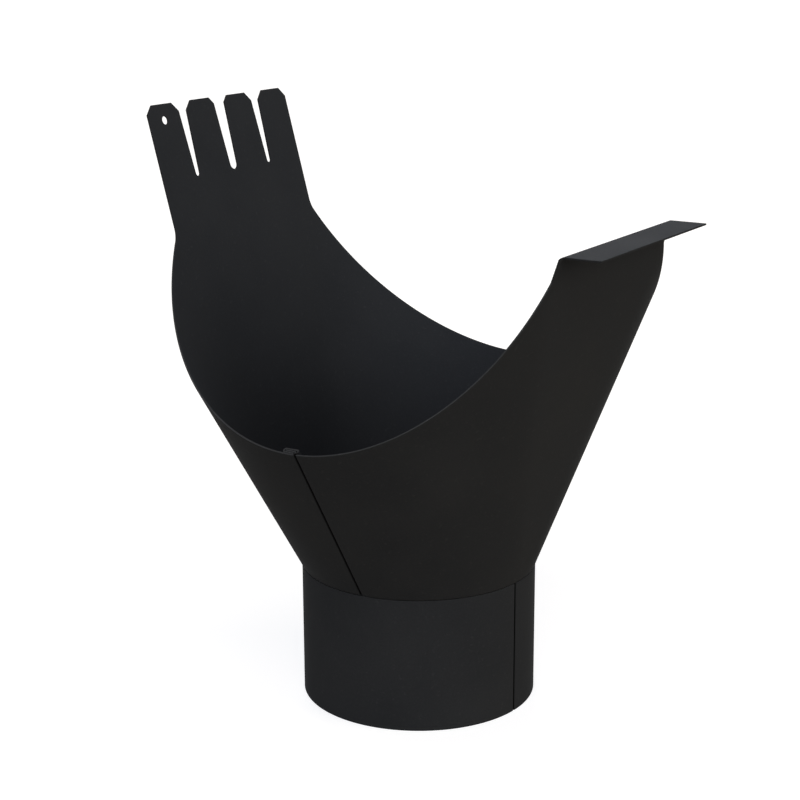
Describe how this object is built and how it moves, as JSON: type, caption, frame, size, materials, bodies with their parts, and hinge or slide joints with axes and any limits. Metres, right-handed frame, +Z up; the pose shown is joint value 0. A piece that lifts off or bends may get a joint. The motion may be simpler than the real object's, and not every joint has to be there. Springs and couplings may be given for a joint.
{
  "type": "gutter outlet",
  "caption": "Funnel-shaped sheet-metal outlet for a half-round rain gutter, with a saddle rim, a front lip, bend-over back tabs and a round spigot for the downpipe.",
  "frame": {"origin": "on the spigot's axis, at its lower edge", "axes": "+Z up along the spigot's axis, +X across the gutter towards the front lip, Y along the gutter"},
  "size_m": [0.1784, 0.163, 0.2145],
  "materials": {
    "funnel": "satin black colour coating on steel sheet",
    "spigot": "satin black colour coating on steel sheet"
  },
  "bodies": {
    "root": {"funnel": "funnel", "spigot": "spigot"}
  },
  "joints": []
}
